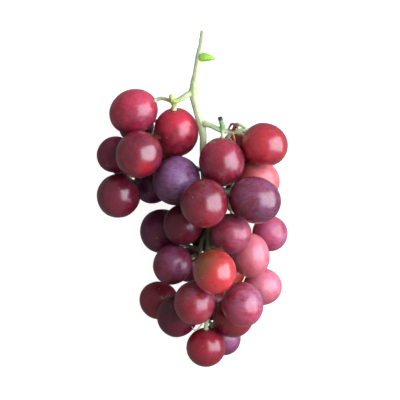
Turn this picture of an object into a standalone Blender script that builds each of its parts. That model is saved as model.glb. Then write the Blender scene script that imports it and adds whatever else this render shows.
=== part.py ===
"""A bunch of red globe grapes lying on its back on a table.

The bunch lies along Y, with its cut stem towards +Y and its full side up, towards +Z.
Every grape is a solid of its own. The stem is one grown piece: the rachis, its side
branches, a stalk to each grape and the dried stubs of lost ones.
"""

import math
from collections import namedtuple

import bpy
import bmesh
from mathutils import Matrix, Vector

MM = 0.001
MERGE_DISTANCE = 0.001 * MM

# Clearances between neighbours
GRAPE_CLEARANCE = 0.5 * MM
STALK_CLEARANCE = 0.7 * MM
SOCKET_GAP = 0.35 * MM

# Grape facets: the swell gives the many-sided solid the girth of the round grape
GRAPE_SIDES = 16
GRAPE_RINGS = 8
FACET_SWELL = 1.008
BLOSSOM_ANGLE = math.radians(22)
SHARP_ANGLE = math.radians(50)

# The shallow socket at the stalk end of a grape, and the stalk's swollen end that sits in it
SOCKET_RADIUS = 2.8 * MM
SOCKET_DEPTH = 1.1 * MM
RECEPTACLE_RADIUS = 1.9 * MM
RECEPTACLE_LENGTH = 1.8 * MM
TIP_RADIUS = 0.17 * MM
STALK_RADIUS = 1.2 * MM
STALK_BASE_RADIUS = 1.4 * MM

# How deep the flat that a grape rests on is pressed in
REST_DEPTH = 0.25 * MM
ON_TABLE = 0.0

# How the grapes give way to each other: how far sideways, and how much less readily than upwards
SEEN_SLACK = 0.8 * MM
HIDDEN_SLACK = 3.0 * MM
SIDEWAYS_SHARE = 0.15
LARGEST_STEP = 2.0
SETTLE_ROUNDS = 400
SETTLED = 0.01 * MM

# Routing of the branches and stalks between the grapes: the two shares say how far a stalk keeps
# to its branch's way and to its grape's axis
LEAVE_SHARE = 0.3
ARRIVE_SHARE = 0.35
STALK_POINTS = 6
BRANCH_STEPS = 2
ROUTE_ROUNDS = 120
BEND_SPREAD = 0.4
NEAR_GRAPE = 24 * MM

# Roundness of the tubes: 2 gives eight sides and 1 gives six
RACHIS_BEVEL = 2
STALK_BEVEL = 1

# One grape: place of its middle across, along and above the table, width and length in mm, the way
# its stalk end points (turned from +X towards +Y, then dipped towards the table, in degrees), the
# branch and branch point that its stalk leaves, and the colour of its skin
Grape = namedtuple("Grape", "x y lift width length turn dip branch point skin")

SEEN_GRAPES = {
    "grape_01": Grape(-38.0, 50.5, 36.0, 25.5, 28.5, 27, -10, "shoulder", 3, "crimson"),
    "grape_02": Grape(-13.7, 38.2, 32.5, 25.5, 28.5, 95, -25, "shoulder", 3, "crimson"),
    "grape_03": Grape(-34.5, 25.5, 46.5, 26.5, 28.0, 50, 45, "shoulder", 8, "dark"),
    "grape_04": Grape(-48.3, 26.0, 29.0, 20.5, 21.5, 40, 0, "shoulder", 10, "dark"),
    "grape_05": Grape(-46.8, 2.5, 28.0, 25.0, 25.5, 60, 0, "shoulder", 11, "dark"),
    "grape_06": Grape(-28.0, 9.3, ON_TABLE, 22.0, 22.5, 70, -40, "shoulder", 11, "plum"),
    "grape_07": Grape(-13.5, 10.5, 39.5, 27.0, 30.5, 70, 50, "rachis", 9, "plum"),
    "grape_08": Grape(2.5, -1.5, 59.5, 27.0, 29.0, 80, 50, "rachis", 10, "crimson"),
    "grape_09": Grape(13.0, 21.5, 47.0, 26.0, 28.0, 88, 10, "right", 3, "crimson"),
    "grape_10": Grape(36.2, 31.2, 47.0, 24.5, 27.0, 155, 28, "right", 4, "red"),
    "grape_11": Grape(32.8, 11.2, 27.0, 24.6, 25.0, 165, -20, "inner_right", 3, "pale"),
    "grape_12": Grape(30.5, -0.4, 49.0, 26.5, 30.0, 165, 15, "inner_right", 3, "plum"),
    "grape_13": Grape(40.0, -19.5, ON_TABLE, 20.5, 21.0, 120, -30, "lower_right", 3, "crimson"),
    "grape_14": Grape(18.2, -18.9, 43.0, 23.2, 24.2, 165, 40, "lower_right", 1, "crimson"),
    "grape_15": Grape(28.5, -31.3, 26.0, 22.0, 26.0, 100, -5, "lower_right", 3, "pale"),
    "grape_16": Grape(8.0, -40.5, 62.0, 24.5, 27.5, 95, 55, "front", 2, "orange"),
    "grape_17": Grape(35.5, -50.0, ON_TABLE, 21.5, 23.0, 180, -25, "tip_right", 3, "pale"),
    "grape_18": Grape(24.0, -59.0, 52.0, 23.5, 27.0, 105, 40, "tip_right", 3, "crimson"),
    "grape_19": Grape(-3.0, -58.0, 50.0, 23.5, 26.5, 85, 45, "rachis", 15, "red"),
    "grape_20": Grape(-13.0, -66.0, 29.0, 23.5, 25.0, 70, -15, "rachis", 16, "dark"),
    "grape_21": Grape(-23.5, -58.5, ON_TABLE, 22.0, 23.0, -20, -10, "rachis", 16, "dark"),
    "grape_22": Grape(3.5, -84.5, 29.0, 22.5, 22.5, 90, -15, "rachis", 17, "crimson"),
    "grape_23": Grape(13.0, -79.0, ON_TABLE, 20.5, 22.0, 130, -35, "rachis", 17, "plum"),
    "grape_24": Grape(19.0, -67.0, 29.5, 23.5, 24.0, 100, -25, "tip_right", 1, "red"),
    "grape_25": Grape(-22.0, -18.0, ON_TABLE, 25.5, 26.0, 60, -45, "left", 2, "dark"),
    "grape_26": Grape(-9.5, -13.5, 33.0, 23.0, 24.0, 70, -15, "left", 1, "dark"),
    "grape_27": Grape(-15.5, -36.5, 29.0, 22.0, 24.5, 62, 35, "lower_left", 3, "plum"),
    "grape_28": Grape(23.5, 29.5, 27.0, 20.5, 22.0, 150, -50, "right", 4, "crimson"),
    "grape_29": Grape(-7.0, -37.5, ON_TABLE, 20.0, 21.0, 60, -60, "lower_left", 4, "dark"),
}

HIDDEN_GRAPES = {
    "grape_30": Grape(-43.5, 23.0, ON_TABLE, 20.0, 20.5, 40, -60, "shoulder", 10, "dark"),
    "grape_31": Grape(-19.5, 31.0, ON_TABLE, 21.0, 22.0, 110, -60, "shoulder", 8, "crimson"),
    "grape_32": Grape(-37.0, 43.0, ON_TABLE, 20.5, 21.0, 20, -55, "shoulder", 7, "dark"),
    "grape_33": Grape(12.0, 20.0, ON_TABLE, 21.0, 22.0, 130, -55, "rachis", 8, "crimson"),
    "grape_34": Grape(35.5, 31.0, ON_TABLE, 20.5, 21.5, 150, -55, "right", 5, "red"),
    "grape_35": Grape(23.0, 2.0, ON_TABLE, 20.0, 21.0, 200, -55, "lower_right", 3, "crimson"),
    "grape_36": Grape(3.0, -2.5, ON_TABLE, 20.0, 21.0, 110, -70, "rachis", 10, "dark"),
    "grape_37": Grape(20.0, -21.5, ON_TABLE, 20.5, 21.0, 120, -60, "lower_right", 2, "crimson"),
    "grape_38": Grape(16.8, -42.0, ON_TABLE, 20.4, 21.0, 140, -60, "lower_twig", 2, "orange"),
    "grape_39": Grape(6.3, -60.8, ON_TABLE, 20.8, 21.0, 120, -70, "rachis", 16, "crimson"),
    "grape_40": Grape(3.2, -21.0, 20.0, 17.0, 17.5, 60, -40, "rachis", 12, "dark"),
}

# Branches of the stem: the branch and point that each leaves, then its own points as place and
# radius in mm; the rachis starts at its cut end
Branch = namedtuple("Branch", "parent point path")

BRANCHES = {
    "rachis": Branch(None, 0, [
        (2.0, 96.2, 46.0, 1.9), (1.1, 89.0, 46.0, 1.9), (-0.7, 81.0, 46.0, 2.1), (-2.2, 72.0, 45.5, 2.0),
        (-3.8, 62.0, 44.0, 2.6), (-2.2, 52.5, 42.0, 2.2), (0.4, 44.5, 40.0, 2.7), (1.8, 36.5, 38.0, 2.1),
        (1.6, 28.5, 36.5, 1.9), (2.0, 18.0, 35.0, 1.9), (2.8, 8.5, 35.0, 2.0), (3.5, -1.5, 35.0, 1.9),
        (5.0, -12.5, 35.0, 1.9), (5.0, -26.0, 35.0, 1.8), (3.5, -33.0, 35.0, 1.8), (3.0, -48.0, 35.5, 1.7),
        (3.5, -54.5, 36.0, 1.6), (4.5, -64.0, 34.5, 1.4),
    ]),
    "shoulder": Branch("rachis", 4, [
        (-9.0, 58.5, 45.0, 1.8), (-13.0, 56.3, 45.5, 1.6), (-15.6, 56.0, 45.5, 1.6),
        (-15.0, 55.2, 40.0, 1.5), (-14.5, 54.6, 34.0, 1.4), (-15.5, 52.5, 25.5, 1.4),
        (-20.0, 47.0, 21.5, 1.4), (-24.5, 41.0, 21.5, 1.4), (-28.0, 33.0, 22.5, 1.4),
        (-31.0, 25.5, 24.5, 1.3), (-33.5, 18.5, 26.5, 1.2),
    ]),
    "right": Branch("rachis", 6, [
        (3.5, 43.2, 42.0, 1.9), (7.0, 42.0, 43.5, 1.5), (11.5, 39.8, 43.5, 1.6), (17.0, 39.0, 41.0, 1.4),
        (22.5, 39.5, 39.0, 1.3),
    ]),
    "inner_right": Branch("rachis", 10, [
        (7.5, 9.0, 36.0, 1.4), (12.5, 6.5, 37.0, 1.4), (16.0, 5.0, 37.5, 1.3),
    ]),
    "lower_right": Branch("rachis", 12, [
        (9.0, -15.0, 31.0, 1.4), (13.5, -13.5, 28.0, 1.3), (18.0, -10.0, 27.0, 1.2),
    ]),
    "front": Branch("rachis", 14, [
        (8.0, -31.0, 38.0, 1.3), (11.0, -31.5, 42.0, 1.2),
    ]),
    "left": Branch("rachis", 11, [
        (-0.5, -3.0, 36.0, 1.3), (-4.0, -1.5, 37.0, 1.2),
    ]),
    "lower_left": Branch("rachis", 12, [
        (1.5, -15.5, 34.5, 1.5), (-1.5, -19.5, 32.5, 1.4), (-3.0, -25.0, 29.5, 1.3),
        (-3.5, -30.0, 26.0, 1.2),
    ]),
    "lower_twig": Branch("rachis", 13, [
        (8.0, -26.5, 30.0, 1.4), (9.5, -29.0, 24.5, 1.3),
    ]),
    "tip_right": Branch("rachis", 15, [
        (8.0, -50.0, 36.5, 1.4), (13.5, -51.5, 36.0, 1.3), (18.0, -51.5, 34.5, 1.2),
    ]),
}

# Dried stubs and scales that stay on the stem, as place and radius in mm
STUBS = {
    "bract": [
        (-1.0, 80.5, 46.2, 1.5), (1.0, 80.9, 47.0, 2.6), (3.0, 81.0, 47.5, 2.7), (6.0, 80.6, 47.6, 1.8),
        (9.0, 79.9, 47.3, 0.4),
    ],
    "shoulder_knob": [
        (-15.6, 56.0, 45.5, 1.6), (-16.2, 58.0, 46.0, 1.5), (-16.6, 60.0, 46.3, 1.3),
    ],
    "right_stub": [
        (13.2, 38.6, 43.2, 1.6), (13.0, 41.0, 44.2, 1.7), (12.2, 44.2, 45.5, 1.5), (11.2, 47.2, 46.3, 1.5),
    ],
    "dried_curl": [
        (15.0, 38.0, 42.0, 0.8), (16.3, 40.5, 42.5, 0.7), (18.0, 43.4, 43.0, 0.8), (20.0, 42.6, 43.2, 0.8),
        (21.5, 40.6, 42.8, 0.7),
    ],
    "pale_stub": [
        (19.0, 39.4, 41.0, 1.1), (20.2, 42.8, 42.6, 1.1), (22.8, 42.9, 43.4, 1.2), (25.6, 40.8, 43.8, 0.9),
    ],
    "dried_thread": [
        (18.2, 39.4, 41.2, 0.8), (19.2, 36.6, 41.6, 0.6), (20.0, 33.0, 41.4, 0.5),
    ],
    "inner_twig": [
        (5.0, -17.0, 35.0, 1.1), (1.5, -20.0, 34.0, 0.9), (-2.0, -19.8, 32.6, 0.8),
    ],
    "inner_stub": [
        (14.0, 3.4, 37.0, 1.6), (17.0, 5.4, 38.4, 1.6), (20.4, 8.3, 39.0, 1.0),
    ],
    "tip_thread": [
        (3.5, -65.0, 34.5, 0.9), (0.4, -70.6, 36.5, 0.6), (-4.0, -73.8, 37.0, 0.5),
        (-6.6, -70.6, 36.4, 0.4),
    ],
}

SKINS = {
    "crimson": (0.245, 0.022, 0.035),
    "red": (0.36, 0.03, 0.04),
    "orange": (0.48, 0.07, 0.03),
    "pale": (0.50, 0.13, 0.13),
    "plum": (0.085, 0.022, 0.06),
    "dark": (0.045, 0.010, 0.018),
}
SKIN_ROUGHNESS = 0.35
STEM_COLOUR = (0.36, 0.39, 0.16)
STEM_ROUGHNESS = 0.6


class Berry:
    """A grape's ellipsoid while the bunch settles: its middle, its axis and its half sizes."""

    def __init__(self, name, grape, slack):
        self.name = name
        self.grape = grape
        self.slack = slack
        self.radius = grape.width * MM / 2
        self.half_length = grape.length * MM / 2
        turn = math.radians(grape.turn)
        dip = math.radians(grape.dip)
        level = math.cos(dip)
        self.axis = Vector((level * math.cos(turn), level * math.sin(turn), -math.sin(dip)))
        self.rests = grape.lift == ON_TABLE
        lift = self.reach(Vector((0, 0, 1))) - REST_DEPTH if self.rests else grape.lift * MM
        self.home = Vector((grape.x * MM, grape.y * MM, lift))
        self.centre = self.home.copy()

    def reach(self, direction):
        """How far the ellipsoid stands out from its middle along a unit direction."""
        along = direction.dot(self.axis)
        stretch = self.half_length ** 2 - self.radius ** 2
        return math.sqrt(self.radius ** 2 + stretch * along ** 2)

    def give_way(self, push):
        """Moves by a push, sideways inside the slack, and up or down unless it rests on the table."""
        moved = self.centre + push
        aside = Vector((moved.x - self.home.x, moved.y - self.home.y, 0))
        if aside.length > self.slack:
            aside *= self.slack / aside.length
        self.centre = self.home + aside
        if not self.rests:
            self.centre.z = moved.z

    def push_out(self, point, margin):
        """The point itself, or the nearest place to it that lies the margin outside the grape."""
        offset = point - self.centre
        along = offset.dot(self.axis)
        across = (offset - self.axis * along).length
        inside = math.hypot(along / (self.half_length + margin), across / (self.radius + margin))
        if inside >= 1 or inside == 0:
            return point
        return self.centre + offset / inside


def settle(berries):
    """Pushes touching grapes apart, mostly up and down, until each has its clearance."""
    for _ in range(SETTLE_ROUNDS):
        worst = 0.0
        for index, lower in enumerate(berries):
            for upper in berries[index + 1:]:
                offset = upper.centre - lower.centre
                distance = offset.length
                direction = offset / distance
                needed = lower.reach(direction) + upper.reach(direction) + GRAPE_CLEARANCE
                missing = needed - distance
                if missing <= 0:
                    continue
                worst = max(worst, missing)
                flat = direction.x ** 2 + direction.y ** 2
                step = missing / (SIDEWAYS_SHARE * flat + direction.z ** 2)
                step = min(step, LARGEST_STEP * missing)
                push = Vector((
                    SIDEWAYS_SHARE * direction.x * step,
                    SIDEWAYS_SHARE * direction.y * step,
                    direction.z * step,
                ))
                lower.give_way(-push / 2)
                upper.give_way(push / 2)
        if worst < SETTLED:
            break


def smooth_path(points):
    """A Catmull-Rom curve through the points, read at a few steps in each stretch."""
    first = points[0] * 2 - points[1]
    last = points[-1] * 2 - points[-2]
    padded = [first] + points + [last]
    path = []
    for index in range(1, len(padded) - 2):
        before, start, end, after = padded[index - 1:index + 3]
        for step in range(BRANCH_STEPS):
            t = step / BRANCH_STEPS
            path.append(
                start
                + (end - before) * (t / 2)
                + (before * 2 - start * 5 + end * 4 - after) * (t ** 2 / 2)
                + (start * 3 - before - end * 3 + after) * (t ** 3 / 2)
            )
    path.append(points[-1])
    return path


def even_radii(radii):
    """The radius at each step of a path, from the radii at its points."""
    fine = []
    for start, end in zip(radii, radii[1:]):
        for step in range(BRANCH_STEPS):
            fine.append(start + (end - start) * step / BRANCH_STEPS)
    fine.append(radii[-1])
    return fine


def hand_path(places, start=None, start_radius=0.0):
    """The path and radii through a list of places in mm, from a start in metres if there is one."""
    points = [Vector(place[:3]) * MM for place in places]
    radii = [place[3] * MM for place in places]
    if start:
        points.insert(0, start)
        radii.insert(0, min(start_radius, radii[0]))
    return smooth_path(points), even_radii(radii)


def keep_clear(path, radii, berries, held):
    """Bends a path round the grapes, all but its first point and the held number at its end."""
    near = [berry for berry in berries if min((point - berry.centre).length for point in path) < NEAR_GRAPE]
    rest = [point.copy() for point in path]
    bend = [Vector() for _ in path]
    for _ in range(ROUTE_ROUNDS):
        for index in range(1, len(path) - held):
            middle = (bend[index - 1] + bend[min(index + 1, len(path) - 1)]) / 2
            point = rest[index] + bend[index].lerp(middle, BEND_SPREAD)
            for berry in near:
                point = berry.push_out(point, radii[index] + STALK_CLEARANCE)
            bend[index] = point - rest[index]
            path[index] = point


def branch_paths(berries):
    """The path and the radius along it of each branch, keyed by branch name."""
    paths = {}
    for name, branch in BRANCHES.items():
        if branch.parent:
            parent_path, parent_radii = paths[branch.parent]
            knot = branch.point * BRANCH_STEPS
            path, radii = hand_path(branch.path, parent_path[knot], parent_radii[knot])
        else:
            path, radii = hand_path(branch.path)
        keep_clear(path, radii, berries, 0)
        paths[name] = (path, radii)
    return paths


def stalk_path(berry, start, heading, berries):
    """The path and radii of one stalk, from its branch to the tip of its swollen end."""
    slope = SOCKET_DEPTH / SOCKET_RADIUS
    rim_height = berry.half_length * math.sqrt(1 - (SOCKET_RADIUS / berry.radius) ** 2)
    tip = berry.centre + berry.axis * (rim_height - SOCKET_DEPTH + SOCKET_GAP)
    shoulder = tip + berry.axis * (RECEPTACLE_RADIUS * slope)
    neck = shoulder + berry.axis * RECEPTACLE_LENGTH
    span = (neck - start).length
    leave = start + heading * (LEAVE_SHARE * span)
    arrive = neck + berry.axis * (ARRIVE_SHARE * span)
    path = []
    radii = []
    for step in range(STALK_POINTS):
        t = step / (STALK_POINTS - 1)
        path.append(
            start * (1 - t) ** 3
            + leave * (3 * t * (1 - t) ** 2)
            + arrive * (3 * t ** 2 * (1 - t))
            + neck * t ** 3
        )
        radii.append(STALK_BASE_RADIUS + (STALK_RADIUS - STALK_BASE_RADIUS) * min(1, 2 * t))
    keep_clear(path, radii, berries, 1)
    path += [shoulder, tip]
    radii += [RECEPTACLE_RADIUS, TIP_RADIUS]
    return path, radii


def material(name, colour, roughness):
    """A plain Principled material, made once for each name."""
    found = bpy.data.materials.get(name)
    if found:
        return found
    made = bpy.data.materials.new(name)
    made.use_nodes = True
    shader = made.node_tree.nodes["Principled BSDF"]
    shader.inputs["Base Color"].default_value = (*colour, 1)
    shader.inputs["Roughness"].default_value = roughness
    shader.inputs["Metallic"].default_value = 0.0
    return made


def tube(name, path, radii, bevel_resolution):
    """A closed round tube along a path, as a mesh object."""
    curve = bpy.data.curves.new(name, "CURVE")
    curve.dimensions = "3D"
    curve.bevel_depth = 1.0
    curve.bevel_resolution = bevel_resolution
    curve.use_fill_caps = True
    spline = curve.splines.new("POLY")
    spline.points.add(len(path) - 1)
    for point, place, radius in zip(spline.points, path, radii):
        point.co = (*place, 1)
        point.radius = radius
    guide = bpy.data.objects.new(name + "_guide", curve)
    mesh = bpy.data.meshes.new_from_object(guide)
    bpy.data.objects.remove(guide)
    shape = bmesh.new()
    shape.from_mesh(mesh)
    bmesh.ops.remove_doubles(shape, verts=shape.verts, dist=MERGE_DISTANCE)
    shape.to_mesh(mesh)
    shape.free()
    return bpy.data.objects.new(name, mesh)


def build_stem(berries, parent):
    """The stem: every branch, stalk and stub as a tube, fused into one solid."""
    paths = branch_paths(berries)
    pieces = []
    for name, (path, radii) in paths.items():
        pieces.append(tube(name, path, radii, RACHIS_BEVEL if name == "rachis" else STALK_BEVEL))
    for name, points in STUBS.items():
        path, radii = hand_path(points)
        keep_clear(path, radii, berries, 0)
        pieces.append(tube(name, path, radii, STALK_BEVEL))
    for berry in berries:
        branch_path, _ = paths[berry.grape.branch]
        knot = berry.grape.point * BRANCH_STEPS
        start = branch_path[knot]
        ahead = branch_path[min(knot + 1, len(branch_path) - 1)]
        behind = branch_path[max(knot - 1, 0)]
        heading = (ahead - behind).normalized()
        path, radii = stalk_path(berry, start, heading, berries)
        pieces.append(tube(berry.name + "_stalk", path, radii, STALK_BEVEL))
    stem = pieces[0]
    stem.name = "stem"
    others = bpy.data.collections.new("stem_pieces")
    for piece in pieces[1:]:
        others.objects.link(piece)
    bpy.context.scene.collection.objects.link(stem)
    bpy.context.scene.collection.children.link(others)
    union = stem.modifiers.new("fuse", "BOOLEAN")
    union.operation = "UNION"
    union.operand_type = "COLLECTION"
    union.collection = others
    union.solver = "MANIFOLD"
    bpy.context.view_layer.objects.active = stem
    bpy.ops.object.modifier_apply(modifier=union.name)
    for piece in list(others.objects):
        bpy.data.objects.remove(piece)
    bpy.data.collections.remove(others)
    stem.data.materials.clear()
    stem.data.materials.append(material("stem_green", STEM_COLOUR, STEM_ROUGHNESS))
    stem.data.shade_smooth()
    stem.parent = parent
    return stem


def grape_profile(berry):
    """Half outline of a grape from its socket to its blossom end, as radius and height."""
    rim_angle = math.asin(SOCKET_RADIUS / berry.radius)
    rim_height = berry.half_length * math.cos(rim_angle)
    outline = [(0.0, rim_height - SOCKET_DEPTH)]
    last_angle = math.pi - BLOSSOM_ANGLE
    for ring in range(GRAPE_RINGS):
        angle = rim_angle + (last_angle - rim_angle) * ring / (GRAPE_RINGS - 1)
        swell = 1.0 if ring == 0 else FACET_SWELL
        across = swell * berry.radius * math.sin(angle)
        along = swell * berry.half_length * math.cos(angle)
        outline.append((across, along))
    outline.append((0.0, -berry.half_length))
    return outline


def build_grape(berry, parent):
    """One grape: its outline spun round its axis, flattened where it rests on the table."""
    shape = bmesh.new()
    outline = [shape.verts.new((radius, 0.0, height)) for radius, height in grape_profile(berry)]
    edges = [shape.edges.new(pair) for pair in zip(outline, outline[1:])]
    bmesh.ops.spin(
        shape, geom=outline + edges, cent=(0, 0, 0), axis=(0, 0, 1), angle=math.tau,
        steps=GRAPE_SIDES, use_merge=True,
    )
    bmesh.ops.remove_doubles(shape, verts=shape.verts, dist=MERGE_DISTANCE)
    turned = berry.axis.to_track_quat("Z", "Y").to_matrix().to_4x4()
    place = Matrix.Translation(berry.centre) @ turned
    if berry.rests:
        inverse = place.inverted()
        cut = bmesh.ops.bisect_plane(
            shape, geom=shape.verts[:] + shape.edges[:] + shape.faces[:], clear_inner=True,
            plane_co=inverse @ Vector((0, 0, 0)), plane_no=inverse.to_3x3() @ Vector((0, 0, 1)),
        )
        rim = [edge for edge in cut["geom_cut"] if isinstance(edge, bmesh.types.BMEdge)]
        bmesh.ops.contextual_create(shape, geom=rim)
    bmesh.ops.recalc_face_normals(shape, faces=shape.faces)
    mesh = bpy.data.meshes.new(berry.name)
    shape.to_mesh(mesh)
    shape.free()
    mesh.shade_smooth()
    mesh.set_sharp_from_angle(angle=SHARP_ANGLE)
    skin = berry.grape.skin
    mesh.materials.append(material("skin_" + skin, SKINS[skin], SKIN_ROUGHNESS))
    grape = bpy.data.objects.new(berry.name, mesh)
    grape.matrix_world = place
    bpy.context.scene.collection.objects.link(grape)
    grape.parent = parent
    return grape


def centre_bunch(bunch, pieces):
    """Moves the parent so that the origin lies under the middle of the whole bunch."""
    bpy.context.view_layer.update()
    corners = [piece.matrix_world @ vertex.co for piece in pieces for vertex in piece.data.vertices]
    for axis in (0, 1):
        low = min(corner[axis] for corner in corners)
        high = max(corner[axis] for corner in corners)
        bunch.location[axis] = -(low + high) / 2
    bpy.context.view_layer.update()


def build():
    """Clears the scene and builds the whole bunch."""
    for old in list(bpy.data.objects):
        bpy.data.objects.remove(old)
    bunch = bpy.data.objects.new("bunch", None)
    bpy.context.scene.collection.objects.link(bunch)
    berries = [Berry(name, grape, SEEN_SLACK) for name, grape in SEEN_GRAPES.items()]
    berries += [Berry(name, grape, HIDDEN_SLACK) for name, grape in HIDDEN_GRAPES.items()]
    settle(berries)
    pieces = [build_stem(berries, bunch)]
    pieces += [build_grape(berry, bunch) for berry in berries]
    centre_bunch(bunch, pieces)


build()
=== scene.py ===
"""A bunch of red globe grapes lying on its back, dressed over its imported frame."""

import math

import bmesh
import bpy
from mathutils import Matrix, Vector


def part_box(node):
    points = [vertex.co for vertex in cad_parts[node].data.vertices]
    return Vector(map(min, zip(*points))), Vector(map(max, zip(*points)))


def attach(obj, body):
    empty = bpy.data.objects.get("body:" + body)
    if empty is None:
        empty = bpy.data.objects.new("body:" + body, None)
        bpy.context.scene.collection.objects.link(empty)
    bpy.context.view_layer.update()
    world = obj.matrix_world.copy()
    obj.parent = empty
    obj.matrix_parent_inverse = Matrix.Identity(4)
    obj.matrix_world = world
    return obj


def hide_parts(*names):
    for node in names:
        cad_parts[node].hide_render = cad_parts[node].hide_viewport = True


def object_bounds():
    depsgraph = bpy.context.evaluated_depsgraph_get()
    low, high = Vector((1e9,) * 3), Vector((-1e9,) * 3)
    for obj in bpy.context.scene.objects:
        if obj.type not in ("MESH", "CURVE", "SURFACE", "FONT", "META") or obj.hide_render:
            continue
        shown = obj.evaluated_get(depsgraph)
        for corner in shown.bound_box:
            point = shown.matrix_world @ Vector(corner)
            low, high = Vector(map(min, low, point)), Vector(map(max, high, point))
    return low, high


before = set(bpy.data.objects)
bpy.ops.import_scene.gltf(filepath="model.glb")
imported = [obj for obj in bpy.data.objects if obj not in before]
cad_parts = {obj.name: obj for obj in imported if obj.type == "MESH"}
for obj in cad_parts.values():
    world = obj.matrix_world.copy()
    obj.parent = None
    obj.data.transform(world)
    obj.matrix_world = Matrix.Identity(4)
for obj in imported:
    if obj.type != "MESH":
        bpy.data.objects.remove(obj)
cad_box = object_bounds()
bpy.ops.object.select_all(action="DESELECT")


# The form of one grape. A real one is a round to slightly oval berry with a thin tight skin: the
# skin draws in to a shallow socket where the stalk enters, and ends in a tiny dry point, the scar
# of the blossom. It is modelled once, one unit in half width, and every grape is a copy of it.

MM = 0.001
OUTLINE_POINTS = 128
GIRTH_STEPS = 60
SOCKET_DRAW = 0.11
SOCKET_REACH = 0.25
SCAR_DRAW = 0.012
SCAR_REACH = 0.07
WELD = 1e-5


def choose(piece, wanted):
    """Selects the points of a piece in edit mode whose place passes the test, and nothing else."""
    bpy.ops.mesh.select_all(action="DESELECT")
    shape = bmesh.from_edit_mesh(piece.data)
    for point in shape.verts:
        if wanted(point.co):
            point.select_set(True)
    shape.select_flush_mode()
    bmesh.update_edit_mesh(piece.data)


bpy.ops.mesh.primitive_circle_add(vertices=OUTLINE_POINTS, radius=1, rotation=(math.pi / 2, 0, 0))
berry_form = bpy.context.object
bpy.ops.object.transform_apply(location=False, rotation=True, scale=False)
bpy.ops.object.mode_set(mode="EDIT")
choose(berry_form, lambda place: place.x < -WELD)
bpy.ops.mesh.delete(type="VERT")
choose(berry_form, lambda place: place.z > 1 - WELD)
bpy.ops.transform.translate(
    value=(0, 0, -SOCKET_DRAW), use_proportional_edit=True,
    proportional_edit_falloff="SMOOTH", proportional_size=SOCKET_REACH,
)
choose(berry_form, lambda place: place.z < -1 + WELD)
bpy.ops.transform.translate(
    value=(0, 0, -SCAR_DRAW), use_proportional_edit=True,
    proportional_edit_falloff="SHARP", proportional_size=SCAR_REACH,
)
bpy.ops.mesh.select_all(action="SELECT")
bpy.ops.mesh.spin(steps=GIRTH_STEPS, angle=math.tau, center=(0, 0, 0), axis=(0, 0, 1))
bpy.ops.mesh.select_all(action="SELECT")
bpy.ops.mesh.remove_doubles(threshold=WELD)
bpy.ops.mesh.normals_make_consistent(inside=False)
bpy.ops.object.mode_set(mode="OBJECT")
bpy.ops.object.shade_smooth()

CAD_SOCKET_RADIUS = 2.8 * MM
CAD_SOCKET_DEPTH = 1.1 * MM
CAD_SOCKET_SIDES = 16
UNEVEN_SIZE = 9 * MM
UNEVEN_HEIGHT = 0.35 * MM

dents = bpy.data.textures.new("dents", "CLOUDS")
dents.noise_scale = UNEVEN_SIZE
dents.noise_depth = 1


def grow_berry(number, width, length):
    """One grape at its node's place, from its width and length in mm. The node's socket, the point
    with a close ring of points round it, says which way the stalk end points."""
    node = f"grape_{number:02d}"
    radius = width * MM / 2
    half_length = length * MM / 2
    points = {tuple(point.co): point.co.copy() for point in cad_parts[node].data.vertices}
    points = list(points.values())
    rings = []
    for point in points:
        nearest = sorted(points, key=lambda place: (place - point).length)
        rings.append(nearest[:CAD_SOCKET_SIDES + 1])
    socket, *ring = min(rings, key=lambda near: (near[-1] - near[0]).length)
    axis = (sum(ring, Vector()) / CAD_SOCKET_SIDES - socket).normalized()
    rim_height = half_length * math.sqrt(1 - (CAD_SOCKET_RADIUS / radius) ** 2)
    centre = socket - axis * (rim_height - CAD_SOCKET_DEPTH)
    berry = berry_form.copy()
    berry.data = berry_form.data.copy()
    berry.name = berry.data.name = f"berry_{number:02d}"
    bpy.context.collection.objects.link(berry)
    place = Matrix.Translation(centre) @ axis.to_track_quat("Z", "Y").to_matrix().to_4x4()
    berry.data.transform(place @ Matrix.Diagonal((radius, radius, half_length, 1)))
    bpy.ops.object.select_all(action="DESELECT")
    bpy.context.view_layer.objects.active = berry
    berry.select_set(True)
    uneven = berry.modifiers.new("uneven", "DISPLACE")
    uneven.texture = dents
    uneven.texture_coords = "LOCAL"
    uneven.strength = UNEVEN_HEIGHT
    uneven.mid_level = 0.5
    bpy.ops.object.modifier_apply(modifier=uneven.name)
    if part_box(node)[0].z < WELD:
        bpy.ops.object.mode_set(mode="EDIT")
        bpy.ops.mesh.select_all(action="SELECT")
        bpy.ops.mesh.bisect(plane_co=(0, 0, 0), plane_no=(0, 0, 1), use_fill=True, clear_inner=True)
        bpy.ops.object.mode_set(mode="OBJECT")
    inwards = Vector()
    for i in range(3):
        places = [point.co[i] for point in berry.data.vertices]
        inwards[i] = max(0, cad_box[0][i] - min(places)) - max(0, max(places) - cad_box[1][i])
    berry.data.transform(Matrix.Translation(inwards))
    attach(berry, "root")
    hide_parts(node)
    return berry, centre, axis * half_length


# The skin of a grape: clear deep colour with a paler or warmer blush, tiny pale and dark breathing
# pores, and over all of it the bloom, a whitish wax that rubs off in patches and streaks. The wax
# colour is laid on thicker on the side towards the window: partly the bloom, partly a painted sheen.


def paint(red, green, blue):
    """A colour given as on a colour card, 0 to 255, as the shader wants it."""
    linear = [((c / 255 + 0.055) / 1.055) ** 2.4 if c > 10 else c / 255 / 12.92 for c in (red, green, blue)]
    return (*linear, 1)


def new_group(name, inputs, outputs):
    """An empty shader node group with its named sockets, and its input and output nodes."""
    group = bpy.data.node_groups.new(name, "ShaderNodeTree")
    for socket, kind, value in inputs:
        made = group.interface.new_socket(socket, in_out="INPUT", socket_type="NodeSocket" + kind)
        made.default_value = value
    for socket, kind in outputs:
        group.interface.new_socket(socket, in_out="OUTPUT", socket_type="NodeSocket" + kind)
    return group, group.nodes.new("NodeGroupInput"), group.nodes.new("NodeGroupOutput")


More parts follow.
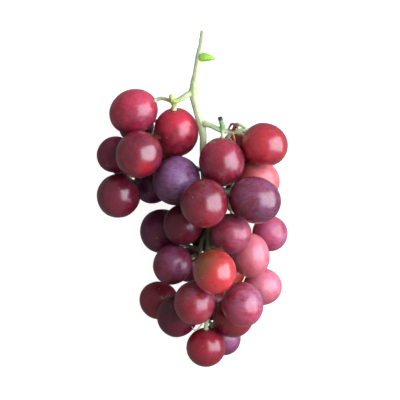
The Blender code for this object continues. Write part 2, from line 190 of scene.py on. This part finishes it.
def wire(tree, kind, links, **settings):
    """A node of that kind in a tree, its sockets fed by links or given values."""
    node = tree.nodes.new("ShaderNode" + kind)
    for name, value in settings.items():
        setattr(node, name, value)
    for socket, value in links.items():
        if isinstance(value, bpy.types.NodeSocket):
            tree.links.new(value, node.inputs[socket])
        else:
            node.inputs[socket].default_value = value
    return node


def step(tree, value, low, high, to_low=0.0, to_high=1.0):
    """A smooth step of a value from one range to another."""
    node = wire(tree, "MapRange", {"Value": value}, interpolation_type="SMOOTHSTEP")
    for socket, given in (("From Min", low), ("From Max", high), ("To Min", to_low), ("To Max", to_high)):
        if isinstance(given, bpy.types.NodeSocket):
            tree.links.new(given, node.inputs[socket])
        else:
            node.inputs[socket].default_value = given
    return node.outputs["Result"]


def times(tree, first, second, operation="MULTIPLY"):
    """Two values multiplied, or put together as the operation says."""
    return wire(tree, "Math", {0: first, 1: second}, operation=operation).outputs[0]


def blend_colours(tree, share, under, over, blend_type="MIX"):
    """One colour laid over another by a share."""
    node = wire(tree, "Mix", {"Factor": share}, data_type="RGBA", blend_type=blend_type)
    for socket, value in ((6, under), (7, over)):
        if isinstance(value, bpy.types.NodeSocket):
            tree.links.new(value, node.inputs[socket])
        else:
            node.inputs[socket].default_value = value
    return node.outputs[2]


# Soft spot: a round patch about a point, for the blush, the socket ring and the blossom scar
soft_spot, spot_in, spot_out = new_group(
    "soft_spot",
    [("Vector", "Vector", (0, 0, 0)), ("Centre", "Vector", (0, 0, 0)), ("Inner", "Float", 0.0),
     ("Outer", "Float", 0.01)],
    [("Mask", "Float")],
)
away = wire(soft_spot, "VectorMath", {0: spot_in.outputs["Vector"], 1: spot_in.outputs["Centre"]},
            operation="DISTANCE")
soft_spot.links.new(
    step(soft_spot, away.outputs["Value"], spot_in.outputs["Inner"], spot_in.outputs["Outer"], 1.0, 0.0),
    spot_out.inputs["Mask"],
)

# Bloom: broad cover with rubbed patches, fine scuffs and a powdery grain
bloom_wax, wax_in, wax_out = new_group(
    "bloom_wax",
    [("Vector", "Vector", (0, 0, 0)), ("Cover", "Float", 0.5), ("Rubbed", "Float", 0.5)],
    [("Mask", "Float")],
)
patches = wire(bloom_wax, "TexNoise", {"Vector": wax_in.outputs["Vector"], "Scale": 130.0, "Detail": 4.0,
                                       "Roughness": 0.6, "Distortion": 0.6})
rubbed = step(
    bloom_wax, patches.outputs["Fac"],
    times(bloom_wax, wax_in.outputs["Rubbed"], 0.17, "SUBTRACT"),
    times(bloom_wax, wax_in.outputs["Rubbed"], 0.17, "ADD"),
)
long_way = wire(bloom_wax, "Mapping", {"Vector": wax_in.outputs["Vector"], "Rotation": (0.5, 0.9, 0.4),
                                       "Scale": (1.0, 4.5, 1.0)})
scuffs = wire(bloom_wax, "TexNoise", {"Vector": long_way.outputs["Vector"], "Scale": 320.0, "Detail": 3.0,
                                      "Roughness": 0.65})
scuffed = step(bloom_wax, scuffs.outputs["Fac"], 0.36, 0.60, 0.55, 1.0)
powder = wire(bloom_wax, "TexNoise", {"Vector": wax_in.outputs["Vector"], "Scale": 2600.0, "Detail": 2.0})
powdered = step(bloom_wax, powder.outputs["Fac"], 0.3, 0.7, 0.82, 1.0)
covered = times(bloom_wax, powdered, wax_in.outputs["Cover"])
wax_and_sheen = times(bloom_wax, times(bloom_wax, rubbed, scuffed), covered)
bloom_wax.links.new(wax_and_sheen, wax_out.inputs["Mask"])

# Pores: many tiny pale ones, and a few larger dark or pale ones
skin_pores, pores_in, pores_out = new_group(
    "skin_pores",
    [("Vector", "Vector", (0, 0, 0))],
    [("Pale", "Float"), ("Dark", "Float")],
)
fine = wire(skin_pores, "TexVoronoi", {"Vector": pores_in.outputs["Vector"], "Scale": 720.0,
                                       "Randomness": 1.0})
fine_keep = wire(skin_pores, "SeparateColor", {"Color": fine.outputs["Color"]})
fine_dot = times(skin_pores, step(skin_pores, fine.outputs["Distance"], 0.10, 0.20, 1.0, 0.0),
                 step(skin_pores, fine_keep.outputs["Red"], 0.45, 0.5))
coarse = wire(skin_pores, "TexVoronoi", {"Vector": pores_in.outputs["Vector"], "Scale": 210.0,
                                         "Randomness": 1.0})
coarse_keep = wire(skin_pores, "SeparateColor", {"Color": coarse.outputs["Color"]})
coarse_dot = step(skin_pores, coarse.outputs["Distance"], 0.05, 0.13, 1.0, 0.0)
pale_pores = times(
    skin_pores, times(skin_pores, fine_dot, 0.5),
    times(skin_pores, coarse_dot, step(skin_pores, coarse_keep.outputs["Green"], 0.78, 0.80)), "MAXIMUM",
)
dark_pores = times(skin_pores, coarse_dot, step(skin_pores, coarse_keep.outputs["Green"], 0.24, 0.22))
skin_pores.links.new(pale_pores, pores_out.inputs["Pale"])
skin_pores.links.new(dark_pores, pores_out.inputs["Dark"])

SCAR_RING = 0.9 * MM
# The way of the window, where the wax colour is laid thicker as a painted sheen, and the share of it kept
# on the far side.
WAX_AND_SHEEN_SIDE = Vector((0.55, 0.35, 0.75)).normalized()
WAX_AWAY_FROM_WINDOW = 0.25
BROAD = 1.5
MOST_COAT = 1.0
COAT_FALL = 3.0
DULLED = 0.75
COAT_ROUGHNESS = 0.27
COAT_IOR = 1.62
GLOSSIEST = 0.2
SCAR_COLOUR = paint(96, 62, 44)
DARK_PORE = paint(38, 8, 22)


def skin_berry(grown, slot, number, deep, blush, blush_way, cover, rubbed, wax_colour, gloss,
               blush_size=BROAD, cast=None):
    """Gives a grape its skin. deep and blush are its two colours, blush_way the side that the
    blush is on and blush_size its reach (on grape 3 the blush is a painted glow of light shining
    through the grape), cover and rubbed say how much wax there is and how patchy, gloss how smooth;
    cast is a colour that tinges one side, with that side's way."""
    berry, centre, to_socket = grown
    skin = bpy.data.materials.new(f"{slot}_{number:02d}")
    skin.use_nodes = True
    tree = skin.node_tree
    shader = tree.nodes["Principled BSDF"]
    here = wire(tree, "TexCoord", {}).outputs["Object"]
    reach = to_socket.length
    own = wire(tree, "Mapping", {"Vector": here, "Location": (0.31 * number, 0.17 * number, 0.23 * number)})
    own = own.outputs["Vector"]
    mottle = wire(tree, "TexNoise", {"Vector": own, "Scale": 170.0, "Detail": 4.0, "Roughness": 0.6})
    mottled = step(tree, mottle.outputs["Fac"], 0.32, 0.68, 0.0, 0.45)
    blush_at = centre + Vector(blush_way).normalized() * reach
    side = wire(tree, "Group", {"Vector": here, "Centre": blush_at, "Inner": 0.1 * blush_size * reach,
                                "Outer": blush_size * reach}, node_tree=soft_spot)
    share = wire(tree, "Math", {0: side.outputs["Mask"], 1: mottled}, operation="ADD", use_clamp=True)
    colour = blend_colours(tree, share.outputs[0], paint(*deep), paint(*blush))
    if cast:
        tinge, tinge_way = cast
        tinge_at = centre + Vector(tinge_way).normalized() * reach
        tinged = wire(tree, "Group", {"Vector": here, "Centre": tinge_at, "Inner": 0.4 * reach,
                                      "Outer": 1.3 * reach}, node_tree=soft_spot)
        colour = blend_colours(tree, times(tree, tinged.outputs["Mask"], 0.75), colour, paint(*tinge))
    pores = wire(tree, "Group", {"Vector": own}, node_tree=skin_pores)
    colour = blend_colours(tree, times(tree, pores.outputs["Dark"], 0.45), colour, DARK_PORE)
    # The wax colour thickens towards the window and thins away from it: a painted sheen laid over the real
    # bloom.
    sheen_side_spot = wire(tree, "Group", {"Vector": here, "Centre": centre + WAX_AND_SHEEN_SIDE * reach,
                                "Inner": 0.4 * reach, "Outer": BROAD * reach}, node_tree=soft_spot)
    wax_and_sheen_cover = step(tree, sheen_side_spot.outputs["Mask"], 0.0, 1.0, WAX_AWAY_FROM_WINDOW * cover, cover)
    wax_and_sheen = wire(tree, "Group", {"Vector": own, "Cover": wax_and_sheen_cover, "Rubbed": rubbed}, node_tree=bloom_wax)
    colour = blend_colours(tree, wax_and_sheen.outputs["Mask"], colour, paint(*wax_colour))
    colour = blend_colours(tree, times(tree, pores.outputs["Pale"], 0.25), colour, paint(214, 170, 168))
    scar = wire(tree, "Group", {"Vector": here, "Centre": centre - to_socket,
                                "Inner": 0.4 * MM, "Outer": SCAR_RING}, node_tree=soft_spot)
    colour = blend_colours(tree, scar.outputs["Mask"], colour, SCAR_COLOUR)
    tree.links.new(colour, shader.inputs["Base Color"])
    rough = step(tree, wax_and_sheen.outputs["Mask"], 0.0, 0.6, gloss, 0.5)
    tree.links.new(rough, shader.inputs["Roughness"])
    grain = wire(tree, "TexNoise", {"Vector": own, "Scale": 900.0, "Detail": 3.0})
    lift = times(tree, grain.outputs["Fac"], times(tree, pores.outputs["Pale"], 0.5), "ADD")
    bump = wire(tree, "Bump", {"Height": lift, "Strength": 0.12, "Distance": 0.0004})
    tree.links.new(bump.outputs["Normal"], shader.inputs["Normal"])
    shader.inputs["Subsurface Weight"].default_value = 0.25
    shader.inputs["Subsurface Radius"].default_value = (1.0, 0.22, 0.16)
    shader.inputs["Subsurface Scale"].default_value = 3.5 * MM
    shader.inputs["IOR"].default_value = 1.45
    shader.inputs["Specular IOR Level"].default_value = 0.2
    clear_coat = MOST_COAT - COAT_FALL * (gloss - GLOSSIEST)
    coat = step(tree, wax_and_sheen.outputs["Mask"], 0.0, 0.6, clear_coat, DULLED * clear_coat)
    tree.links.new(coat, shader.inputs["Coat Weight"])
    shader.inputs["Coat Roughness"].default_value = COAT_ROUGHNESS
    shader.inputs["Coat IOR"].default_value = COAT_IOR
    berry.data.materials.clear()
    berry.data.materials.append(skin)


# The crimson grapes, most of those at the front: deep red with a clear skin, a brighter shoulder
# and a thin lilac wax that the picking has rubbed away in places.

CRIMSON = {
    1: (25.5, 28.5, (125, 23, 47), (189, 38, 66), (0.2, 1, 0.5), 0.18, 0.52, 0.30),
    2: (25.5, 28.5, (112, 19, 39), (188, 36, 62), (0.1, 1, 0.6), 0.10, 0.55, 0.30),
    8: (27.0, 29.0, (99, 12, 28), (134, 19, 42), (0.3, -1, 0.6), 0.16, 0.54, 0.24),
    9: (26.0, 28.0, (105, 16, 33), (148, 31, 54), (0, 0.9, 0.6), 0.18, 0.53, 0.26),
    13: (20.5, 21.0, (134, 36, 62), (172, 65, 97), (-0.6, 0.5, 0.8), 0.42, 0.48, 0.34),
    14: (23.2, 24.2, (104, 13, 31), (152, 39, 60), (0.5, 0.5, 0.8), 0.34, 0.48, 0.34),
    18: (23.5, 27.0, (124, 30, 50), (156, 42, 66), (0.1, -0.8, 0.6), 0.48, 0.49, 0.28),
    22: (22.5, 22.5, (115, 15, 33), (145, 20, 39), (-0.3, 0.3, 0.8), 0.07, 0.55, 0.28),
    28: (20.5, 22.0, (112, 16, 34), (150, 28, 48), (0, 0.3, 0.9), 0.08, 0.55, 0.34),
    31: (21.0, 22.0, (104, 16, 34), (150, 30, 48), (0.5, 0, -0.8), 0.10, 0.5, 0.34),
    33: (21.0, 22.0, (108, 16, 34), (156, 32, 48), (0.4, 0.3, -0.8), 0.10, 0.5, 0.34),
    35: (20.0, 21.0, (96, 14, 30), (148, 28, 46), (0.5, -0.5, -0.6), 0.13, 0.5, 0.34),
    37: (20.5, 21.0, (108, 16, 34), (158, 32, 50), (0.6, -0.4, -0.6), 0.13, 0.5, 0.40),
    39: (20.8, 21.0, (104, 16, 32), (150, 30, 46), (0.2, -0.6, -0.7), 0.10, 0.5, 0.44),
}
LILAC_WAX = (186, 140, 172)

for number, (width, length, deep, blush, way, cover, rubbed, gloss) in CRIMSON.items():
    grown = grow_berry(number, width, length)
    skin_berry(grown, "skin_crimson", number, deep, blush, way, cover, rubbed, LILAC_WAX, gloss)


# The bright red grapes, riper on the side that faced the sun, with little wax.

RED = {
    10: (24.5, 27.0, (132, 21, 31), (178, 40, 53), (-0.6, 0.1, 0.8), 0.10, 0.55, 0.24),
    19: (23.5, 26.5, (101, 16, 27), (143, 30, 43), (0.3, -0.3, 0.8), 0.28, 0.49, 0.30),
    24: (23.5, 24.0, (111, 21, 39), (145, 30, 48), (0, 0.4, 0.8), 0.08, 0.54, 0.32),
    34: (20.5, 21.5, (126, 18, 34), (176, 38, 50), (0.8, 0.2, -0.5), 0.09, 0.5, 0.32),
}

for number, (width, length, deep, blush, way, cover, rubbed, gloss) in RED.items():
    grown = grow_berry(number, width, length)
    skin_berry(grown, "skin_red", number, deep, blush, way, cover, rubbed, LILAC_WAX, gloss)


# Two grapes still turning: orange red, with an olive brown cast on the shaded side.

ORANGE = {
    16: (24.5, 27.5, (156, 36, 32), (192, 42, 48), (0.3, -0.6, 0.8), 0.10, 0.57, 0.20),
    38: (20.4, 21.0, (164, 52, 30), (190, 66, 44), (0, 0.3, 0.9), 0.06, 0.56, 0.36),
}
OLIVE = (112, 74, 34)

for number, (width, length, deep, blush, way, cover, rubbed, gloss) in ORANGE.items():
    grown = grow_berry(number, width, length)
    skin_berry(grown, "skin_orange", number, deep, blush, way, cover, rubbed, LILAC_WAX, gloss,
               cast=(OLIVE, (-0.75, 0.5, 0.45)))


# The pale grapes at the right edge, coloured late: coral pink, so thin in colour that the flesh
# lightens them from inside.

PALE = {
    11: (24.6, 25.0, (168, 58, 58), (199, 93, 93), (0.5, 0.5, 0.6), 0.26, 0.48, 0.36),
    15: (22.0, 26.0, (162, 57, 73), (190, 95, 107), (0.4, 0.3, 0.8), 0.22, 0.49, 0.32),
    17: (21.5, 23.0, (158, 60, 72), (190, 97, 114), (0.3, 0.5, 0.7), 0.36, 0.47, 0.36),
}
PINK_WAX = (214, 160, 176)

for number, (width, length, deep, blush, way, cover, rubbed, gloss) in PALE.items():
    grown = grow_berry(number, width, length)
    skin_berry(grown, "skin_pale", number, deep, blush, way, cover, rubbed, PINK_WAX, gloss)


# The plum coloured grapes, which keep the most wax: violet to blue grey, scuffed by their
# neighbours.

PLUM = {
    6: (22.0, 22.5, (68, 15, 46), (84, 20, 58), (0, -0.5, 0.8), 0.07, 0.55, 0.40),
    7: (27.0, 30.5, (66, 14, 28), (100, 45, 83), (0.3, 0.5, 0.8), 0.95, 0.44, 0.38),
    12: (26.5, 30.0, (81, 11, 28), (116, 29, 54), (-0.2, 0.6, 0.7), 0.42, 0.49, 0.24),
    23: (20.5, 22.0, (88, 26, 46), (118, 44, 72), (0.5, 0, 0.8), 0.50, 0.47, 0.34),
    27: (22.0, 24.5, (89, 18, 37), (122, 35, 59), (0.3, 0.3, 0.9), 0.42, 0.47, 0.36),
}
VIOLET_WAX = (150, 112, 156)

for number, (width, length, deep, blush, way, cover, rubbed, gloss) in PLUM.items():
    grown = grow_berry(number, width, length)
    skin_berry(grown, "skin_plum", number, deep, blush, way, cover, rubbed, VIOLET_WAX, gloss)


# The dark grapes, the ripest: maroon to nearly black, with a thin grey wax. Grapes 29 and 40, deep in the
# bunch, are nearly black partly as painted shade.

DARK = {
    3: (26.5, 28.0, (104, 14, 40), (158, 26, 36), (0.25, -0.60, 0.76), 0.12, 0.53, 0.20),
    4: (20.5, 21.5, (106, 18, 50), (112, 20, 52), (0.3, 0, 0.9), 0.10, 0.53, 0.40),
    5: (25.0, 25.5, (92, 12, 35), (115, 17, 44), (0.1, -0.3, 0.9), 0.10, 0.54, 0.24),
    20: (23.5, 25.0, (74, 14, 34), (97, 20, 41), (0.5, -0.6, 0.6), 0.09, 0.54, 0.38),
    21: (22.0, 23.0, (112, 24, 42), (126, 26, 42), (0.3, 0.2, 0.8), 0.09, 0.54, 0.40),
    25: (25.5, 26.0, (82, 18, 50), (100, 22, 54), (0.4, -0.4, 0.8), 0.08, 0.55, 0.38),
    26: (23.0, 24.0, (88, 14, 38), (100, 18, 40), (0.6, -0.3, 0.7), 0.10, 0.54, 0.38),
    # Grape 29 fills a shaded hollow deep in the bunch: its near black colour is partly its own, partly
    # painted shade.
    29: (20.0, 21.0, (62, 14, 28), (88, 20, 36), (0.4, -0.2, 0.8), 0.09, 0.54, 0.42),
    30: (20.0, 20.5, (66, 14, 30), (94, 20, 38), (-0.5, 0, -0.8), 0.10, 0.53, 0.34),
    32: (20.5, 21.0, (64, 14, 30), (90, 20, 36), (-0.5, 0.3, -0.8), 0.10, 0.53, 0.34),
    36: (20.0, 21.0, (56, 12, 26), (82, 18, 34), (0, 0, -1), 0.10, 0.53, 0.34),
    # Grape 40, small and deep in the bunch, is darkest of all: partly its own colour, partly painted shade.
    40: (17.0, 17.5, (40, 12, 22), (60, 14, 28), (0, 0, -1), 0.04, 0.53, 0.40),
}
GREY_WAX = (138, 104, 130)
# Grape 3's blush is a small bright red spot low on its right side: a painted glow of light shining through
# the grape.
PAINTED_GLOW_GRAPE = 3
PAINTED_GLOW_SIZE = 0.52

for number, (width, length, deep, blush, way, cover, rubbed, gloss) in DARK.items():
    grown = grow_berry(number, width, length)
    size = PAINTED_GLOW_SIZE if number == PAINTED_GLOW_GRAPE else BROAD
    skin_berry(grown, "skin_dark", number, deep, blush, way, cover, rubbed, GREY_WAX, gloss, size)

bpy.data.objects.remove(berry_form)


# The stem, one grown piece: peduncle, rachis, side branches and a stalk to each grape. It is
# smooth and pale green where it is thick, warty and browner at the joints, and its stubs are dry.
# The frame's own solid is rounded off by a fine remesh and given small swellings.

STEM_VOXEL = 0.38 * MM

stalks = bpy.data.objects.new("green_stem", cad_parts["stem"].data.copy())
bpy.context.collection.objects.link(stalks)
bpy.ops.object.select_all(action="DESELECT")
bpy.context.view_layer.objects.active = stalks
stalks.select_set(True)
bpy.ops.object.mode_set(mode="EDIT")
bpy.ops.mesh.select_all(action="SELECT")
bpy.ops.mesh.remove_doubles(threshold=1e-6)
bpy.ops.object.mode_set(mode="OBJECT")
rounding = stalks.modifiers.new("rounding", "REMESH")
rounding.mode = "VOXEL"
rounding.voxel_size = STEM_VOXEL
rounding.use_smooth_shade = True
bpy.ops.object.modifier_apply(modifier=rounding.name)
softening = stalks.modifiers.new("softening", "SMOOTH")
softening.factor = 0.5
softening.iterations = 3
bpy.ops.object.modifier_apply(modifier=softening.name)
swellings = bpy.data.textures.new("swellings", "CLOUDS")
swellings.noise_scale = 1.6 * MM
swellings.noise_depth = 2
knobbly = stalks.modifiers.new("knobbly", "DISPLACE")
knobbly.texture = swellings
knobbly.texture_coords = "LOCAL"
knobbly.strength = 0.3 * MM
knobbly.mid_level = 0.45
bpy.ops.object.modifier_apply(modifier=knobbly.name)

stem_low, stem_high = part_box("stem")
for point in stalks.data.vertices:
    for i in range(3):
        point.co[i] = min(max(point.co[i], stem_low[i]), stem_high[i])

green = bpy.data.materials.new("stem_green")
green.use_nodes = True
tree = green.node_tree
shader = tree.nodes["Principled BSDF"]
here = wire(tree, "TexCoord", {}).outputs["Object"]
tone = wire(tree, "TexNoise", {"Vector": here, "Scale": 140.0, "Detail": 4.0, "Roughness": 0.6})
toned = step(tree, tone.outputs["Fac"], 0.3, 0.7)
colour = blend_colours(tree, toned, paint(176, 192, 140), paint(208, 220, 182))

# Places on the stem that differ, as the middle, inner and outer size in mm, colour and strength; the three
# wide dark ones deep in the bunch are painted shade
STEM_MARKS_AND_SHADE = [
    ((8.5, 80.6, 47.3), 2.0, 6.5, (132, 190, 40), 1.0),
    ((5.2, 80.0, 48.5), 0.5, 2.6, (170, 216, 40), 0.9),
    ((13.4, 80.0, 47.3), 0.3, 1.4, (120, 110, 90), 0.8),
    ((0.3, 62.0, 44.0), 1.0, 6.0, (164, 184, 84), 0.6),
    ((-10.6, 55.8, 44.0), 2.0, 7.5, (172, 190, 76), 0.8),
    ((-12.0, 60.0, 46.3), 0.4, 2.0, (146, 148, 84), 0.8),
    ((4.4, 44.2, 40.0), 1.0, 6.0, (176, 190, 120), 0.5),
    ((16.6, 43.0, 45.2), 2.5, 6.0, (120, 166, 104), 0.9),
    ((15.3, 48.0, 46.3), 2.6, 4.2, (38, 42, 40), 1.0),
    ((22.8, 41.6, 43.0), 2.2, 5.0, (118, 62, 46), 1.0),
    ((29.6, 41.8, 43.6), 1.0, 3.4, (176, 196, 132), 1.0),
    ((24.2, 35.2, 41.4), 1.2, 4.2, (212, 168, 120), 1.0),
    ((7.7, -72.1, 33.0), 2.0, 4.5, (190, 204, 150), 0.8),
    ((0.6, -71.6, 36.8), 2.0, 6.0, (206, 182, 168), 0.9),
    ((6.2, 96.5, 46.0), 0.6, 2.4, (150, 140, 96), 0.8),
    # Painted shade: three wide dark patches on the stalks deep in the bunch, between the grapes.
    ((6.0, -24.0, 30.0), 9.0, 15.0, (74, 78, 52), 0.9),
    ((-8.0, -50.0, 28.0), 8.0, 16.0, (70, 74, 50), 0.9),
    ((26.0, 6.0, 32.0), 8.0, 16.0, (104, 122, 84), 0.8),
    ((21.0, 5.0, 38.4), 1.5, 3.5, (140, 146, 122), 0.8),
    ((25.0, 8.2, 39.2), 0.8, 2.4, (208, 160, 156), 0.9),
]
for place, inner, outer, shade, strength in STEM_MARKS_AND_SHADE:
    patch = wire(tree, "Group", {"Vector": here, "Centre": Vector(place) * MM, "Inner": inner * MM,
                                 "Outer": outer * MM}, node_tree=soft_spot)
    colour = blend_colours(tree, times(tree, patch.outputs["Mask"], strength), colour, paint(*shade))
flecks = wire(tree, "TexNoise", {"Vector": here, "Scale": 900.0, "Detail": 3.0, "Roughness": 0.7})
flecked = step(tree, flecks.outputs["Fac"], 0.60, 0.72, 0.0, 0.5)
colour = blend_colours(tree, flecked, colour, paint(112, 98, 58))
tree.links.new(colour, shader.inputs["Base Color"])
rough = step(tree, flecks.outputs["Fac"], 0.3, 0.7, 0.42, 0.7)
tree.links.new(rough, shader.inputs["Roughness"])
bump = wire(tree, "Bump", {"Height": flecks.outputs["Fac"], "Strength": 0.35, "Distance": 0.0003})
tree.links.new(bump.outputs["Normal"], shader.inputs["Normal"])
shader.inputs["Subsurface Weight"].default_value = 0.15
shader.inputs["Subsurface Radius"].default_value = (0.8, 1.0, 0.3)
shader.inputs["Subsurface Scale"].default_value = 1.0 * MM
stalks.data.materials.clear()
stalks.data.materials.append(green)
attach(stalks, "root")
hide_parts("stem")


# The table: a plain white sheet that the bunch lies on, a large soft window light from the
# right, and a camera that looks straight down on the full side of the bunch. The sheet glows less
# towards the grapes than towards the camera, and least of all where they mirror it.

CARD_GLOW = 0.92
GLOW_ASIDE = (0.60, 0.60, 0.60, 1)
GLOW_MIRRORED = (0.10, 0.10, 0.10, 1)
CARD_GREY = (0.35, 0.35, 0.35, 1)
CARD_MIRRORED = (0.08, 0.08, 0.08, 1)

bpy.ops.mesh.primitive_plane_add(size=6, location=(0, 0, 0))
table = bpy.context.object
table.name = "white_table"
bpy.ops.object.transform_apply(location=True, rotation=True, scale=True)
white = bpy.data.materials.new("white_card")
white.use_nodes = True
card = white.node_tree.nodes["Principled BSDF"]
card.inputs["Roughness"].default_value = 0.9
card.inputs["Specular IOR Level"].default_value = 0.1
ray = wire(white.node_tree, "LightPath", {}).outputs
glow = blend_colours(white.node_tree, ray["Is Camera Ray"], GLOW_ASIDE, (1, 1, 1, 1))
glow = blend_colours(white.node_tree, ray["Is Glossy Ray"], glow, GLOW_MIRRORED)
white.node_tree.links.new(glow, card.inputs["Emission Color"])
paper = blend_colours(white.node_tree, ray["Is Glossy Ray"], CARD_GREY, CARD_MIRRORED)
white.node_tree.links.new(paper, card.inputs["Base Color"])
card.inputs["Emission Strength"].default_value = CARD_GLOW
table.data.materials.append(white)

MIDDLE = Vector((0.0, 0.0, 0.035))


def soft_light(name, way, distance, width, height, power, colour):
    """A large soft lamp that stands off in that direction and faces the bunch."""
    lamp = bpy.data.lights.new(name, "AREA")
    lamp.shape = "RECTANGLE"
    lamp.size = width
    lamp.size_y = height
    lamp.energy = power
    lamp.color = colour
    light = bpy.data.objects.new(name, lamp)
    bpy.context.scene.collection.objects.link(light)
    away = Vector(way).normalized()
    light.matrix_world = (
        Matrix.Translation(MIDDLE + away * distance) @ away.to_track_quat("Z", "Y").to_matrix().to_4x4()
    )


soft_light("window", (0.87, 0.14, 0.50), 0.9, 1.05, 1.7, 34.0, (0.85, 0.88, 1.0))

sky = bpy.data.worlds.new("white_room")
sky.use_nodes = True
room = sky.node_tree.nodes["Background"]
room.inputs["Color"].default_value = (1.0, 1.0, 1.0, 1)
room.inputs["Strength"].default_value = 0.34
bpy.context.scene.world = sky

SHIFT = Vector((4.247 * MM, -0.286 * MM, 0))
EYE_HEIGHT = 1.6
SEEN_PLANE = 0.04
PICTURE_WIDTH = 400 * 0.57 * MM
lens = bpy.data.cameras.new("overhead")
lens.sensor_width = 36
lens.lens = 36 * (EYE_HEIGHT - SEEN_PLANE) / PICTURE_WIDTH
lens.clip_start = 0.05
camera = bpy.data.objects.new("overhead", lens)
camera.location = SHIFT + Vector((0, 0, EYE_HEIGHT))
bpy.context.scene.collection.objects.link(camera)
bpy.context.scene.camera = camera
bpy.context.scene.view_settings.view_transform = "Standard"
